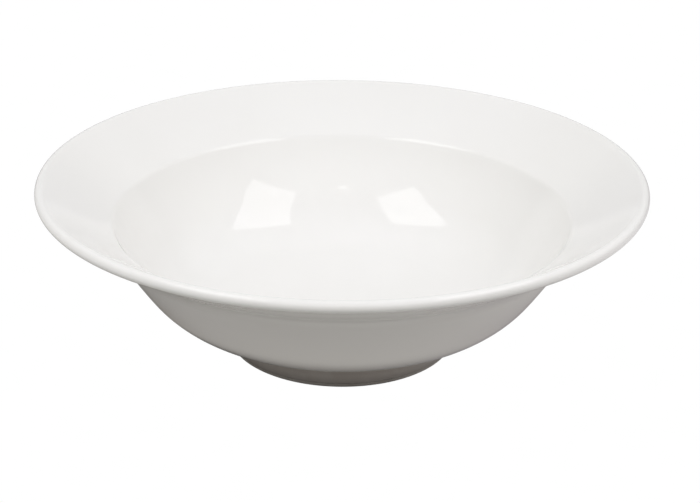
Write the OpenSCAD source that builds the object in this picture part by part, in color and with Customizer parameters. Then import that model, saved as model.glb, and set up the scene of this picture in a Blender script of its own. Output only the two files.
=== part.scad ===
// Deep pasta bowl with a sloping flange, a rounded well and a foot ring.
// One fired clay body, a glaze coat over it and a glaze patch under the base.
// Units are millimetres, +Z is up, the foot ring stands on Z = 0.

/* [Overall] */
// Outside diameter over the lip
rim_d = 280; // [268:1:296]
// Height from the table to the top of the lip
bowl_h = 83.3; // [80:0.1:88]
// Thickness of the rounded lip
lip_t = 5.3; // [4.6:0.1:6.2]
// Thickness of the side, and of the flange beside the fold
side_t = 3.7; // [3.3:0.1:4.4]

/* [Flange] */
// Slope of the flange's upper face above the horizontal, in degrees
flange_angle = 33.2; // [31:0.1:35]
// Diameter of the fold where the flange turns down into the well
well_d = 212; // [206:0.2:214]
// Radius of the rounded fold on the inside
fold_r = 5.5; // [4:0.5:12]
// Radius of the hollow under the fold on the outside
under_r = 30; // [16:1:36]

/* [Well] */
// Slope of the well's side just under the fold, in degrees
side_angle = 62.3; // [60:0.1:64]
// Radius of the gently curved side
side_r = 211; // [180:1:250]
// Radius of the tighter curve from the side to the floor
belly_r = 45.5; // [42:0.5:48]
// Radius of the shallow dish of the floor
floor_r = 335; // [300:1:400]
// Height of the floor's lowest point above the table
floor_z = 13.2; // [12.6:0.1:13.6]

/* [Foot ring] */
// Diameter of the foot ring's outside at the table
foot_d = 106; // [96:1:114]
// Width of the foot ring at the table
foot_w = 5; // [4:0.1:7]
// Draft of the foot ring's sides, in degrees
foot_draft = 7; // [3:0.5:12]
// Radius of the standing edges
foot_edge_r = 1.3; // [0.8:0.1:1.6]
// Radius of the fillets at the top of the foot ring
foot_fillet_r = 3; // [2:0.1:4]
// Depth of the hollow under the base
recess_h = 6.6; // [6:0.1:7]

/* [Glaze] */
// Thickness of the glaze
glaze_t = 0.4; // [0.3:0.05:0.6]
// Height of the bare clay band above the table
bare_h = 2; // [1.8:0.1:2.4]

/* [Smoothness] */
// Largest turn between neighbouring facets of a section, in degrees
facet_angle = 3; // [2:0.5:6]

/* [Hidden] */
$fn = 120;

// Direction at angle a
function dir(a) = [cos(a), sin(a)];
function tail(l) = [for (i = [1 : len(l) - 1]) l[i]];
function rev(l) = [for (i = [len(l) - 1 : -1 : 0]) l[i]];

// Points on an arc about c from angle a0 to angle a1, with wider steps on a small arc
function arc(c, r, a0, a1) =
    let (step = facet_angle * (r > 20 ? 1 : r > 5 ? 1.5 : 3),
         n = max(2, ceil(abs(a1 - a0) / step)))
    [for (i = [0 : n]) c + r * dir(a0 + (a1 - a0) * i / n)];

// Centre of the lip's round section, and the flange's upper edge beside it
lip_c = [rim_d / 2 - lip_t / 2, bowl_h - lip_t / 2];
lip_in = lip_c + lip_t / 2 * dir(flange_angle + 90);

// Corner where the flange and the side would meet without the fold
fold_p = [well_d / 2, lip_in[1] - (lip_in[0] - well_d / 2) * tan(flange_angle)];
fold_mid = (side_angle + flange_angle) / 2;
fold_half = (side_angle - flange_angle) / 2;

// Slope of the flange's underside: the flange thickens from the fold to the lip
under_angle = flange_angle - asin((lip_t - side_t) / norm(lip_in - fold_p));

// Centre of the side's curve, which starts where the fold ends
side_c = fold_p + fold_r / cos(fold_half) * dir(fold_mid - 90)
       + (fold_r + side_r) * dir(side_angle + 90);

// Centre of the floor's dish
floor_c = [0, floor_z + floor_r];

// Centre of the curve from the side to the floor: it touches both
belly_c =
    let (d = side_c - floor_c,
         ra = floor_r - belly_r,
         rb = side_r - belly_r,
         x = (d * d + ra * ra - rb * rb) / (2 * norm(d)),
         u = d / norm(d))
    floor_c + x * u + sqrt(ra * ra - x * x) * [-u[1], u[0]];

// Centre of a fold of radius r that touches the flange line through p at angle a,
// and the side's curve at depth o
function fold_c(p, a, o, r) =
    let (m = p + r * dir(a - 90),
         d = dir(a),
         q = m - side_c,
         b = q * d,
         k = q * q - pow(side_r + o + r, 2))
    m + (sqrt(b * b - k) - b) * d;

// Section line of the shell at depth o below the inside face, from angle a0 on the
// floor's dish out to the point p where the flange, of slope a, meets the lip.
// rf is the fold's radius.
function shell_line(o, a0, rf, p, a) =
    let (fo = fold_c(p, a, o, rf),
         a1 = atan2(belly_c[1] - floor_c[1], belly_c[0]),
         a2 = atan2(belly_c[1] - side_c[1], belly_c[0] - side_c[0]),
         a3 = atan2(fo[1] - side_c[1], fo[0] - side_c[0]))
    concat(
        a0 == -90
            ? concat([[0, floor_z - o]], tail(arc(floor_c, floor_r + o, a0, a1)))
            : arc(floor_c, floor_r + o, a0, a1),
        tail(arc(belly_c, belly_r + o, a1, a2)),
        tail(arc(side_c, side_r + o, a2, a3)),
        tail(arc(fo, rf, a3 + 180, a + 90)),
        [p]);

// Rounded lip of radius r, from the inside round to the underside
function lip(r) =
    let (l = arc(lip_c, r, flange_angle + 90, under_angle - 90))
    [for (i = [1 : len(l) - 2]) l[i]];

// Foot ring. Its outer side leans out and its inner side leans in.
out_p = [foot_d / 2, 0];
out_u = dir(90 - foot_draft);
out_n = dir(-foot_draft);
in_p = [foot_d / 2 - foot_w, 0];
in_u = dir(90 + foot_draft);
in_n = dir(180 + foot_draft);
edge_s = foot_edge_r * (1 - sin(foot_draft)) / cos(foot_draft);

// Fillet between the underside of the bowl and the foot's outer side
body_floor_r = floor_r + side_t - glaze_t;
out_c =
    let (p = out_p + foot_fillet_r * out_n,
         q = p - floor_c,
         b = q * out_u,
         k = q * q - pow(body_floor_r + foot_fillet_r, 2))
    p - (b + sqrt(b * b - k)) * out_u;
out_a = atan2(out_c[1] - floor_c[1], out_c[0]);

// Fillet between the foot's inner side and the base
base_z = recess_h + glaze_t;
in_c = in_p + foot_fillet_r * in_n
     + (base_z - foot_fillet_r + foot_fillet_r * sin(foot_draft)) / cos(foot_draft) * in_u;

// Section lines of the foot with g of glaze on them, from the top downwards
function foot_out(g) = concat(
    tail(arc(out_c, foot_fillet_r - g, out_a + 180, 180 - foot_draft)),
    [[out_p[0] + bare_h * tan(foot_draft) + g / cos(foot_draft), bare_h]]);
function foot_in(g) = concat(
    [[0, base_z - g]],
    rev(arc(in_c, foot_fillet_r - g, foot_draft, 90)),
    [[in_p[0] - bare_h * tan(foot_draft) - g / cos(foot_draft), bare_h]]);

// Bare standing edge, from the outside to the inside
stand = concat(
    arc(out_p + edge_s * out_u - foot_edge_r * out_n, foot_edge_r, -foot_draft, -90),
    arc(in_p + edge_s * in_u - foot_edge_r * in_n, foot_edge_r, -90, foot_draft - 180));

// Inside and outside lines with g of glaze taken off
function inside(g) = shell_line(g, -90, fold_r - g,
    lip_c + (lip_t / 2 - g) * dir(flange_angle + 90), flange_angle);
function outside(g) = shell_line(side_t - g, out_a, under_r + g,
    lip_c + (lip_t / 2 - g) * dir(under_angle - 90), under_angle);

// Fired clay: flange, well and foot ring in one piece
module porcelain_body() {
    color([0.90, 0.88, 0.85])
        rotate_extrude()
            polygon(concat(inside(glaze_t), lip(lip_t / 2 - glaze_t), rev(outside(glaze_t)),
                           foot_out(0), stand, rev(foot_in(0))));
}

// Glaze over the inside, the lip and the outside
module glaze_coat() {
    color([0.96, 0.96, 0.94])
        rotate_extrude()
            polygon(concat(inside(0), lip(lip_t / 2), rev(outside(0)), foot_out(glaze_t),
                           rev(foot_out(0)), outside(glaze_t), rev(lip(lip_t / 2 - glaze_t)),
                           rev(inside(glaze_t))));
}

// Glaze under the base, inside the foot ring
module base_glaze() {
    color([0.95, 0.95, 0.93])
        rotate_extrude()
            polygon(concat(foot_in(0), rev(foot_in(glaze_t))));
}

porcelain_body();
glaze_coat();
base_glaze();
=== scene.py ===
import math

import bpy
from mathutils import Matrix, Vector


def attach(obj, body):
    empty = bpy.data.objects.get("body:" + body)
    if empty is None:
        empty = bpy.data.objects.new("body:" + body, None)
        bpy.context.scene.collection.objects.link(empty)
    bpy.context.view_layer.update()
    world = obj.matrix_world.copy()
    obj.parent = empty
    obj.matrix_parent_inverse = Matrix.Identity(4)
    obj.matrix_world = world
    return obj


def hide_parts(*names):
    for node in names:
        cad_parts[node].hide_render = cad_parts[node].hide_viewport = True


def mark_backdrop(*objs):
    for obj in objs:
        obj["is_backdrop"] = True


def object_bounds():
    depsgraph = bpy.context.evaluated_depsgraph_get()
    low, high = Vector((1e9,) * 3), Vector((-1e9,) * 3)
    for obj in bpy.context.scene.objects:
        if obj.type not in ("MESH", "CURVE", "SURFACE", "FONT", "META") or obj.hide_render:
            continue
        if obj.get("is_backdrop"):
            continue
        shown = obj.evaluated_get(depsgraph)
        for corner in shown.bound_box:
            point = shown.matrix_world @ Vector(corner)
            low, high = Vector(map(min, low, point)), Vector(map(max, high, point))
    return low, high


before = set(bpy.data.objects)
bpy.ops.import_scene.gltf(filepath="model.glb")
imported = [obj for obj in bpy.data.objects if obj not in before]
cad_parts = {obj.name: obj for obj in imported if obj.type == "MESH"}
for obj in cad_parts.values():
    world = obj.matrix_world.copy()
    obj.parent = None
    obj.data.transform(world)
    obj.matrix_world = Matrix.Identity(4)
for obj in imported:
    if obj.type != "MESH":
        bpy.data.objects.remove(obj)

cad_lo, cad_hi = (list(c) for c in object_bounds())
scene = bpy.context.scene

# ---------------------------------------------------------------- dimensions
# The same driving sizes as the construction model, in millimetres.
RIM_D, BOWL_H, LIP_T, SIDE_T = 280.0, 83.3, 5.3, 3.7
FLANGE_A, WELL_D, FOLD_R, UNDER_R = 33.2, 212.0, 5.5, 30.0
SIDE_A, SIDE_R, BELLY_R, FLOOR_R, FLOOR_Z = 62.3, 211.0, 45.5, 335.0, 13.2
FOOT_D, FOOT_W, FOOT_DRAFT, FOOT_EDGE_R, FOOT_FILLET_R = 106.0, 5.0, 7.0, 1.3, 3.0
RECESS_H, GLAZE_T, BARE_H = 6.6, 0.4, 2.0


def ang(a):
    return Vector((math.cos(math.radians(a)), math.sin(math.radians(a))))


def arc(c, r, a0, a1, step=1.5):
    """Points on an arc about c, close enough to look round."""
    n = max(3, math.ceil(abs(a1 - a0) / step))
    return [c + r * ang(a0 + (a1 - a0) * i / n) for i in range(n + 1)]


def to(p, q):
    return math.degrees(math.atan2(q.y - p.y, q.x - p.x))


def along(p, d, c, r, far):
    """Point on the line p + t d at distance r from c."""
    q = p - c
    b = q.dot(d)
    root = math.sqrt(b * b - q.dot(q) + r * r)
    return p + (root - b if far else -root - b) * d


# ---------------------------------------------------------------- section lines
lip_c = Vector((RIM_D / 2 - LIP_T / 2, BOWL_H - LIP_T / 2))
lip_in = lip_c + LIP_T / 2 * ang(FLANGE_A + 90)
fold_p = Vector((WELL_D / 2, lip_in.y - (lip_in.x - WELL_D / 2) * math.tan(math.radians(FLANGE_A))))
fold_half = math.radians((SIDE_A - FLANGE_A) / 2)
UNDER_A = FLANGE_A - math.degrees(math.asin((LIP_T - SIDE_T) / (lip_in - fold_p).length))
side_c = fold_p + FOLD_R / math.cos(fold_half) * ang((SIDE_A + FLANGE_A) / 2 - 90) + (FOLD_R + SIDE_R) * ang(SIDE_A + 90)
floor_c = Vector((0.0, FLOOR_Z + FLOOR_R))


def touching_belly():
    d = side_c - floor_c
    ra, rb = FLOOR_R - BELLY_R, SIDE_R - BELLY_R
    x = (d.dot(d) + ra * ra - rb * rb) / (2 * d.length)
    u = d.normalized()
    return floor_c + x * u + math.sqrt(ra * ra - x * x) * Vector((-u.y, u.x))


belly_c = touching_belly()


def shell_line(o, a0, rf, end, a):
    """The shell's section at depth o below the inside face, from the floor out to the flange's end, of slope a there."""
    fold_c = along(end + rf * ang(a - 90), ang(a), side_c, SIDE_R + o + rf, True)
    a1, a2, a3 = to(floor_c, belly_c), to(side_c, belly_c), to(side_c, fold_c)
    start = [Vector((0.0, FLOOR_Z - o))] if a0 == -90 else []
    pts = start + arc(floor_c, FLOOR_R + o, a0, a1, 0.7)[len(start):]
    pts += arc(belly_c, BELLY_R + o, a1, a2, 1.2)[1:]
    pts += arc(side_c, SIDE_R + o, a2, a3, 0.5)[1:]
    pts += arc(fold_c, rf, a3 + 180, a + 90, 1.6)[1:]
    last = pts[-1].copy()
    pts += [last + (end - last) * (i / 8) for i in range(1, 9)]
    return pts


def inside(g):
    return shell_line(g, -90, FOLD_R - g, lip_c + (LIP_T / 2 - g) * ang(FLANGE_A + 90), FLANGE_A)


def outside(g):
    return shell_line(SIDE_T - g, out_a, UNDER_R + g, lip_c + (LIP_T / 2 - g) * ang(UNDER_A - 90), UNDER_A)


def lip(r):
    return arc(lip_c, r, FLANGE_A + 90, UNDER_A - 90, 6)[1:-1]


out_p, out_u, out_n = Vector((FOOT_D / 2, 0.0)), ang(90 - FOOT_DRAFT), ang(-FOOT_DRAFT)
in_p, in_u, in_n = Vector((FOOT_D / 2 - FOOT_W, 0.0)), ang(90 + FOOT_DRAFT), ang(180 + FOOT_DRAFT)
draft = math.radians(FOOT_DRAFT)
edge_s = FOOT_EDGE_R * (1 - math.sin(draft)) / math.cos(draft)
out_c = along(out_p + FOOT_FILLET_R * out_n, out_u, floor_c, FLOOR_R + SIDE_T - GLAZE_T + FOOT_FILLET_R, False)
out_a = to(floor_c, out_c)
base_z = RECESS_H + GLAZE_T
in_c = in_p + FOOT_FILLET_R * in_n + (base_z - FOOT_FILLET_R + FOOT_FILLET_R * math.sin(draft)) / math.cos(draft) * in_u


def foot_out(g, rounded=False):
    """The foot's outer side under g of glaze, from the top down. A fired glaze thins out to a rounded edge."""
    pts = arc(out_c, FOOT_FILLET_R - g, out_a + 180, 180 - FOOT_DRAFT, 4)[1:]
    ends = [(g * math.cos(t), BARE_H + 0.9 * (1 - math.sin(t))) for t in (i * math.pi / 20 for i in range(11))] if rounded else [(g, BARE_H)]
    return pts + [Vector((out_p.x + z * math.tan(draft) + h / math.cos(draft), z)) for h, z in ends]


def foot_in(g, rounded=False):
    pts = [Vector((0.0, base_z - g))] + arc(in_c, FOOT_FILLET_R - g, 90, FOOT_DRAFT, 4)
    ends = [(g * math.cos(t), BARE_H + 0.9 * (1 - math.sin(t))) for t in (i * math.pi / 20 for i in range(11))] if rounded else [(g, BARE_H)]
    return pts + [Vector((in_p.x - z * math.tan(draft) - h / math.cos(draft), z)) for h, z in ends]


stand = (arc(out_p + edge_s * out_u - FOOT_EDGE_R * out_n, FOOT_EDGE_R, -FOOT_DRAFT, -90, 8)
         + arc(in_p + edge_s * in_u - FOOT_EDGE_R * in_n, FOOT_EDGE_R, -90, FOOT_DRAFT - 180, 8))
clay_section = inside(GLAZE_T) + lip(LIP_T / 2 - GLAZE_T) + outside(GLAZE_T)[::-1] + foot_out(0.0) + stand + foot_in(0.0)[::-1]
glaze_section = (inside(0.0) + lip(LIP_T / 2) + outside(0.0)[::-1] + foot_out(GLAZE_T, True)
                 + foot_out(0.0)[::-1][1:] + outside(GLAZE_T) + lip(LIP_T / 2 - GLAZE_T)[::-1] + inside(GLAZE_T)[::-1])
base_section = foot_in(0.0) + foot_in(GLAZE_T, True)[::-1][1:]

# The construction model's box is measured on its facets, so the turned pieces are drawn in by the same hair.
FIT = min(1.0, min(cad_hi[0], cad_hi[1], -cad_lo[0], -cad_lo[1]) / (RIM_D / 2000))
TOP = min(1.0, cad_hi[2] / (BOWL_H / 1000))


def turned(name, section, turns=208):
    """A closed solid turned from a section that starts and ends on the axis."""
    pts = [section[0]]
    for p in section[1:]:
        if (p - pts[-1]).length > 1e-4:
            pts.append(p)
    verts, rings = [], []
    for p in pts:
        r, z = p.x * FIT / 1000, max(p.y, 0.0) * TOP / 1000
        if p.x < 1e-6:
            rings.append([len(verts)])
            verts.append((0.0, 0.0, z))
        else:
            rings.append(list(range(len(verts), len(verts) + turns)))
            verts += [(r * math.cos(2 * math.pi * i / turns), r * math.sin(2 * math.pi * i / turns), z) for i in range(turns)]
    faces = []
    for a, b in zip(rings, rings[1:]):
        for i in range(turns):
            j = (i + 1) % turns
            if len(a) == 1:
                faces.append((a[0], b[j], b[i]))
            elif len(b) == 1:
                faces.append((a[i], a[j], b[0]))
            else:
                faces.append((a[i], a[j], b[j], b[i]))
    mesh = bpy.data.meshes.new(name)
    mesh.from_pydata(verts, [], faces)
    mesh.validate()
    if sum(p.normal.z * p.center.z * p.area + p.normal.x * p.center.x * p.area + p.normal.y * p.center.y * p.area for p in mesh.polygons) < 0:
        mesh.flip_normals()
    mesh.shade_smooth()
    mesh.set_sharp_from_angle(angle=math.radians(40))
    obj = bpy.data.objects.new(name, mesh)
    scene.collection.objects.link(obj)
    return obj


# ---------------------------------------------------------------- materials
def new_material(name):
    m = bpy.data.materials.new(name)
    m.use_nodes = True
    t = m.node_tree
    t.nodes.clear()
    out = t.nodes.new("ShaderNodeOutputMaterial")
    bsdf = t.nodes.new("ShaderNodeBsdfPrincipled")
    t.links.new(bsdf.outputs["BSDF"], out.inputs["Surface"])
    coord = t.nodes.new("ShaderNodeTexCoord")
    return m, t, bsdf, coord


def noise(t, coord, scale, detail=2.0, rough=0.5):
    n = t.nodes.new("ShaderNodeTexNoise")
    n.inputs["Scale"].default_value = scale
    n.inputs["Detail"].default_value = detail
    n.inputs["Roughness"].default_value = rough
    t.links.new(coord.outputs["Object"], n.inputs["Vector"])
    return n


def ramp(t, fac, stops):
    r = t.nodes.new("ShaderNodeValToRGB")
    r.color_ramp.interpolation = "EASE"
    while len(r.color_ramp.elements) < len(stops):
        r.color_ramp.elements.new(0.5)
    for e, (pos, col) in zip(r.color_ramp.elements, stops):
        e.position = pos
        e.color = (*col, 1.0) if len(col) == 3 else col
    t.links.new(fac, r.inputs["Fac"])
    return r


def to_range(t, value, lo, hi):
    r = t.nodes.new("ShaderNodeMapRange")
    r.inputs["To Min"].default_value = lo
    r.inputs["To Max"].default_value = hi
    t.links.new(value, r.inputs["Value"])
    return r


def bump(t, height, distance, strength, before=None):
    b = t.nodes.new("ShaderNodeBump")
    b.inputs["Distance"].default_value = distance
    b.inputs["Strength"].default_value = strength
    t.links.new(height, b.inputs["Height"])
    if before:
        t.links.new(before.outputs["Normal"], b.inputs["Normal"])
    return b


def blend(t, fac, a, b):
    n = t.nodes.new("ShaderNodeMix")
    n.data_type = "RGBA"
    for key, v in (("Factor", fac), ("A", a), ("B", b)):
        t.links.new(v, n.inputs[key])
    return n


def glaze_material(name, thin_and_shaded_below=None):
    """Glossy glaze. Below the height thin_and_shaded_below the glaze runs thinner and the warm clay shows through it.
    The colour there is also darkened as painted shade under the bowl's belly, and darkest as a painted contact shadow
    towards the table.
    """
    m, t, bsdf, coord = new_material(name)
    tone = noise(t, coord, 11.0, 3.0)
    col = ramp(t, tone.outputs["Fac"], [(0.30, (0.882, 0.873, 0.853)), (0.70, (0.902, 0.895, 0.878))])
    if thin_and_shaded_below:
        xyz = t.nodes.new("ShaderNodeSeparateXYZ")
        t.links.new(coord.outputs["Object"], xyz.inputs["Vector"])
        cover = to_range(t, xyz.outputs["Z"], 0.0, 1.0)
        cover.interpolation_type = "SMOOTHSTEP"
        cover.inputs["From Min"].default_value = thin_and_shaded_below - 0.0035
        cover.inputs["From Max"].default_value = thin_and_shaded_below
        speck = noise(t, coord, 160.0, 4.0)
        # Foot colours: clay showing through the thinned glaze, darkened as painted shade. The lower pair is darker
        # still as a painted contact shadow.
        edge = ramp(t, speck.outputs["Fac"], [(0.30, EDGE_CONTACT_SHADE_LOW), (0.70, EDGE_CONTACT_SHADE_HIGH)])
        thin_glaze_and_shade = ramp(t, speck.outputs["Fac"], [(0.30, THIN_GLAZE_SHADE_LOW), (0.70, THIN_GLAZE_SHADE_HIGH)])
        # The painted contact shadow fades out between 2 and 6.4 mm above the table.
        contact_shade_fade = to_range(t, xyz.outputs["Z"], 0.0, 1.0)
        contact_shade_fade.interpolation_type = "SMOOTHSTEP"
        contact_shade_fade.inputs["From Min"].default_value = 0.0020
        contact_shade_fade.inputs["From Max"].default_value = 0.0064
        foot = blend(t, contact_shade_fade.outputs["Result"], edge.outputs["Color"], thin_glaze_and_shade.outputs["Color"])
        mix = blend(t, cover.outputs["Result"], foot.outputs["Result"], col.outputs["Color"])
        t.links.new(mix.outputs["Result"], bsdf.inputs["Base Color"])
    else:
        t.links.new(col.outputs["Color"], bsdf.inputs["Base Color"])
    cloud = noise(t, coord, 38.0, 4.0)
    rough = to_range(t, cloud.outputs["Fac"], 0.012, 0.035)
    t.links.new(rough.outputs["Result"], bsdf.inputs["Roughness"])
    # the glaze's slow swell, and the finer peel on it
    swell = noise(t, coord, 42.0, 1.0)
    peel = noise(t, coord, 420.0, 2.0)
    b1 = bump(t, swell.outputs["Fac"], 0.00002, 0.4)
    b2 = bump(t, peel.outputs["Fac"], 0.0000015, 0.4, b1)
    t.links.new(b2.outputs["Normal"], bsdf.inputs["Normal"])
    bsdf.inputs["IOR"].default_value = 1.5
    return m


def clay_shaded_material(name):
    m, t, bsdf, coord = new_material(name)
    mottle = noise(t, coord, 90.0, 4.0)
    # The bare clay is darkened well below fired porcelain as painted shade, where it stands in the dark under the bowl
    # at the table. The mottle in it is the clay's own.
    col = ramp(t, mottle.outputs["Fac"], [(0.30, (0.445, 0.414, 0.375)), (0.68, (0.520, 0.492, 0.452))])
    t.links.new(col.outputs["Color"], bsdf.inputs["Base Color"])
    grain = noise(t, coord, 1400.0, 3.0)
    rough = to_range(t, grain.outputs["Fac"], 0.70, 0.95)
    t.links.new(rough.outputs["Result"], bsdf.inputs["Roughness"])
    b = bump(t, grain.outputs["Fac"], 0.00008, 0.6)
    t.links.new(b.outputs["Normal"], bsdf.inputs["Normal"])
    return m


# Foot colours under the thinned glaze: warm clay showing through, darkened as painted shade under the belly. The edge
# pair is darker still as a painted contact shadow near the table.
THIN_GLAZE_SHADE_LOW, THIN_GLAZE_SHADE_HIGH = (0.560, 0.516, 0.474), (0.595, 0.555, 0.512)
EDGE_CONTACT_SHADE_LOW, EDGE_CONTACT_SHADE_HIGH = (0.430, 0.396, 0.363), (0.462, 0.430, 0.397)
glaze = glaze_material("white_glaze", thin_and_shaded_below=0.0124)
base_glaze = glaze_material("base_white_glaze")
clay = clay_shaded_material("bare_porcelain")

for name, section, material, node, slot in (
    ("bowl_body", clay_section, clay, "porcelain_body", "clay"),
    ("bowl_glaze", glaze_section, glaze, "glaze_coat", "glaze"),
    ("bowl_base_glaze", base_section, base_glaze, "base_glaze", "glaze"),
):
    piece = turned(name, section)
    piece.data.materials.append(material)
    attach(piece, "root")
    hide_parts(node)

# ---------------------------------------------------------------- floor
def floor_material(name):
    """White paper lit to full white. It takes no more light, so the bowl's outline against it stays clean."""
    m, t, bsdf, coord = new_material(name)
    grain = noise(t, coord, 60.0, 2.0)
    col = ramp(t, grain.outputs["Fac"], [(0.3, (1.0, 1.0, 1.0)), (0.7, (1.004, 1.004, 1.004))])
    bsdf.inputs["Base Color"].default_value = (0.0, 0.0, 0.0, 1.0)
    bsdf.inputs["Specular IOR Level"].default_value = 0.0
    t.links.new(col.outputs["Color"], bsdf.inputs["Emission Color"])
    bsdf.inputs["Emission Strength"].default_value = 1.0
    return m


def plane(name, size, z, material):
    mesh = bpy.data.meshes.new(name)
    s = size / 2
    mesh.from_pydata([(-s, -s, z), (s, -s, z), (s, s, z), (-s, s, z)], [], [(0, 1, 2, 3)])
    mesh.materials.append(material)
    obj = bpy.data.objects.new(name, mesh)
    scene.collection.objects.link(obj)
    return obj


def fan(t, coord, stops, sides, by_height):
    """A colour ramp for each of four directions, blended round the circle. It runs with height, or with distance from the axis."""
    def calc(op, a, b=None):
        n = t.nodes.new("ShaderNodeMath")
        n.operation = op
        for i, v in enumerate((a, b)):
            if isinstance(v, float):
                n.inputs[i].default_value = v
            elif v is not None:
                t.links.new(v, n.inputs[i])
        return n.outputs["Value"]

    xyz = t.nodes.new("ShaderNodeSeparateXYZ")
    t.links.new(coord, xyz.inputs["Vector"])
    x, y, z = (xyz.outputs[k] for k in "XYZ")
    r = calc("SQRT", calc("ADD", calc("MULTIPLY", x, x), calc("ADD", calc("MULTIPLY", y, y), 1e-8)))
    ramps, total = {}, None
    for side, axis, sign in (("front", y, -1.0), ("back", y, 1.0), ("left", x, -1.0), ("right", x, 1.0)):
        lean = calc("MAXIMUM", calc("MULTIPLY", calc("DIVIDE", axis, r), sign), 0.0)
        top = max(max(c) for c in sides[side])
        ramps[side] = ramp(t, z if by_height else r, [(p, tuple(v / top for v in c)) for p, c in zip(stops, sides[side])])
        part = t.nodes.new("ShaderNodeVectorMath")
        part.operation = "SCALE"
        t.links.new(ramps[side].outputs["Color"], part.inputs[0])
        t.links.new(calc("MULTIPLY", calc("MULTIPLY", lean, lean), top), part.inputs["Scale"])
        if total is None:
            total = part.outputs["Vector"]
        else:
            add = t.nodes.new("ShaderNodeVectorMath")
            t.links.new(total, add.inputs[0])
            t.links.new(part.outputs["Vector"], add.inputs[1])
            total = add.outputs["Vector"]
    return total, ramps


# The floor that is seen is white paper. The light that comes back up from the table is set on a second sheet just
# under it, by distance from the bowl's axis: dark under the bowl, pale further out.
TABLE_R = (0.065, 0.085, 0.12, 0.20, 0.42, 0.95)
TABLE = {
    "front": [(0.031, 0.027, 0.030), (0.521, 0.511, 0.478), (0.330, 0.297, 0.281), (0.105, 0.124, 0.109), (0.772, 0.747, 0.714), (1.086, 1.064, 1.042)],
    "back": [(0.313, 0.313, 0.313), (0.279, 0.279, 0.280), (0.243, 0.244, 0.244), (0.202, 0.202, 0.202), (0.150, 0.150, 0.151), (0.097, 0.097, 0.098)],
    "left": [(0.010, 0.010, 0.010), (0.204, 0.187, 0.173), (0.145, 0.138, 0.127), (0.449, 0.430, 0.419), (0.833, 0.812, 0.807), (1.020, 1.005, 1.001)],
    "right": [(0.277, 0.268, 0.274), (0.273, 0.245, 0.254), (0.363, 0.345, 0.333), (0.856, 0.830, 0.836), (0.693, 0.677, 0.688), (0.460, 0.448, 0.450)],
}
floor = plane("floor", 30.0, 0.0, floor_material("floor_white"))
floor.visible_diffuse = floor.visible_glossy = floor.visible_shadow = False
table_mat, tt, tb, tc = new_material("floor_glow")
tb.inputs["Base Color"].default_value = (0.0, 0.0, 0.0, 1.0)
tb.inputs["Specular IOR Level"].default_value = 0.0
tb.inputs["Emission Strength"].default_value = 0.985
table_light, table_ramps = fan(tt, tc.outputs["Object"], TABLE_R, TABLE, False)
tt.links.new(table_light, tb.inputs["Emission Color"])
bounce = plane("floor_bounce", 30.0, -0.0003, table_mat)
bounce.visible_camera = False
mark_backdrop(floor, bounce)

# ---------------------------------------------------------------- light
# The room round the table: brightness by height above the horizon, for each of four directions.
ROOM_Z = (0.0, 0.06, 0.15, 0.35, 0.55, 0.72, 0.88)
ROOM = {
    "front": [(0.234, 0.230, 0.228), (0.024, 0.024, 0.024), (0.024, 0.024, 0.024), (0.457, 0.448, 0.444), (1.182, 1.176, 1.150), (1.269, 1.264, 1.271), (0.645, 0.647, 0.672)],
    "back": [(0.856, 0.857, 0.859), (0.784, 0.785, 0.780), (0.571, 0.568, 0.568), (0.461, 0.467, 0.469), (0.590, 0.591, 0.579), (0.511, 0.514, 0.499), (0.645, 0.647, 0.672)],
    "left": [(0.351, 0.349, 0.348), (0.325, 0.319, 0.321), (0.498, 0.489, 0.478), (0.799, 0.795, 0.767), (0.934, 0.932, 0.896), (0.872, 0.866, 0.878), (0.645, 0.647, 0.672)],
    "right": [(0.400, 0.398, 0.398), (0.317, 0.314, 0.311), (0.470, 0.453, 0.428), (0.862, 0.852, 0.822), (1.007, 1.001, 0.990), (0.764, 0.753, 0.787), (0.645, 0.647, 0.672)],
}
world = bpy.data.worlds.new("studio")
scene.world = world
world.use_nodes = True
wt = world.node_tree
wt.nodes.clear()
wco = wt.nodes.new("ShaderNodeTexCoord")
room_light, room_ramps = fan(wt, wco.outputs["Generated"], ROOM_Z, ROOM, True)
wbg = wt.nodes.new("ShaderNodeBackground")
wbg.inputs["Strength"].default_value = 1.015
wt.links.new(room_light, wbg.inputs["Color"])
wout = wt.nodes.new("ShaderNodeOutputWorld")
wt.links.new(wbg.outputs["Background"], wout.inputs["Surface"])


def softbox(name, centre, across, along_it, width, length, radiance, colour=(1.0, 1.0, 1.0)):
    """A rectangular light. Its power gives the same radiance at any size. It is not itself in the picture."""
    data = bpy.data.lights.new(name, "AREA")
    data.shape = "RECTANGLE"
    data.size, data.size_y = width, length
    data.energy = radiance * math.pi * width * length
    data.color = colour
    x, y = Vector(across).normalized(), Vector(along_it).normalized()
    z = x.cross(y).normalized()
    x, y = (x + y.cross(z)).normalized(), (y + z.cross(x)).normalized()
    x = y.cross(z)
    obj = bpy.data.objects.new(name, data)
    obj.matrix_world = Matrix.Translation(Vector(centre)) @ Matrix((x, y, z)).transposed().to_4x4()
    obj.visible_camera = False
    scene.collection.objects.link(obj)
    return obj


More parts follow.
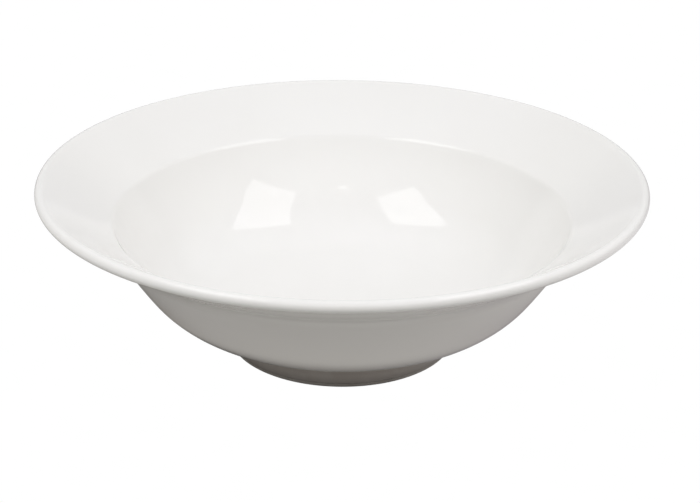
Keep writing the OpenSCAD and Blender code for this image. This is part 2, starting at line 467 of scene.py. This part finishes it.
def panel(name, outline, z, radiance, colour=(1.0, 1.0, 1.0)):
    """A flat light of any outline at height z, in metres, that adds to the room behind it. It is not itself in the picture."""
    m = bpy.data.materials.new(name)
    m.use_nodes = True
    t = m.node_tree
    t.nodes.clear()
    glow = t.nodes.new("ShaderNodeEmission")
    glow.inputs["Color"].default_value = (*colour, 1.0)
    glow.inputs["Strength"].default_value = radiance
    clear = t.nodes.new("ShaderNodeBsdfTransparent")
    both = t.nodes.new("ShaderNodeAddShader")
    t.links.new(glow.outputs["Emission"], both.inputs[0])
    t.links.new(clear.outputs["BSDF"], both.inputs[1])
    out = t.nodes.new("ShaderNodeOutputMaterial")
    t.links.new(both.outputs["Shader"], out.inputs["Surface"])
    mesh = bpy.data.meshes.new(name)
    mesh.from_pydata([(x, y, z) for x, y in outline], [], [tuple(range(len(outline)))])
    mesh.materials.append(m)
    obj = bpy.data.objects.new(name, mesh)
    obj.visible_camera = False
    scene.collection.objects.link(obj)
    obj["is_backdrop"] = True
    return glow


window_right = panel("box_right", ((1.240, -0.699), (1.318, -0.497), (1.290, -0.315), (1.067, 0.004), (0.850, 0.349), (0.570, 0.244), (0.318, 0.134), (0.470, -0.324), (0.600, -0.829), (0.925, -0.767)), 1.2, 1.81, (0.997, 0.996, 1.007))
window_left = panel("box_left", ((-0.410, -0.783), (-0.372, -0.440), (-0.340, -0.190), (-0.333, 0.090), (-0.600, 0.152), (-0.887, 0.212), (-1.030, -0.310), (-1.070, -0.598), (-0.936, -0.764), (-0.650, -0.822)), 1.2, 2.01, (0.997, 0.998, 1.005))
softbox("strip_front", (-0.003, -0.956, 1.2), (1.0, 0.0, 0.0), (0.0, 1.0, 0.0), 0.105, 0.022, 3.4, (1.000, 1.000, 1.000))

# ---------------------------------------------------------------- camera
# Looks at the rim's centre from the front, a little above it, then leans by the photograph's own tilt.
FOCAL_PX, DIST, ELEV, ROLL, YAW, PITCH = 1700.0, 0.78379, 0.370998, 0.0070006, -0.0044200, 0.0430797
RIM_Z = 0.0807155
eye = Vector((0.0, -DIST * math.cos(ELEV), DIST * math.sin(ELEV)))
fwd = -eye.normalized()
right = Vector((1.0, 0.0, 0.0))
up = right.cross(fwd)
axes = Matrix((right, -up, fwd))
c, s = math.cos, math.sin
rot_x = Matrix(((1, 0, 0), (0, c(PITCH), -s(PITCH)), (0, s(PITCH), c(PITCH))))
rot_y = Matrix(((c(YAW), 0, s(YAW)), (0, 1, 0), (-s(YAW), 0, c(YAW))))
rot_z = Matrix(((c(ROLL), -s(ROLL), 0), (s(ROLL), c(ROLL), 0), (0, 0, 1)))
axes = rot_x @ rot_y @ rot_z @ axes
cam_data = bpy.data.cameras.new("camera")
cam_data.sensor_fit = "HORIZONTAL"
cam_data.sensor_width = 36.0
cam_data.lens = FOCAL_PX * 36.0 / 700.0
cam_data.clip_start, cam_data.clip_end = 0.01, 100.0
cam = bpy.data.objects.new("camera", cam_data)
cam.matrix_world = Matrix.Translation(eye + Vector((0, 0, RIM_Z))) @ Matrix((axes[0], -axes[1], -axes[2])).transposed().to_4x4()
scene.collection.objects.link(cam)
scene.camera = cam

# Light that skims along the inside of the well is mirrored many times before it leaves, so it is followed that far.
scene.cycles.glossy_bounces = 12

scene.view_settings.view_transform = "Standard"
scene.view_settings.look = "None"
scene.view_settings.exposure = 0.0
scene.view_settings.gamma = 1.0
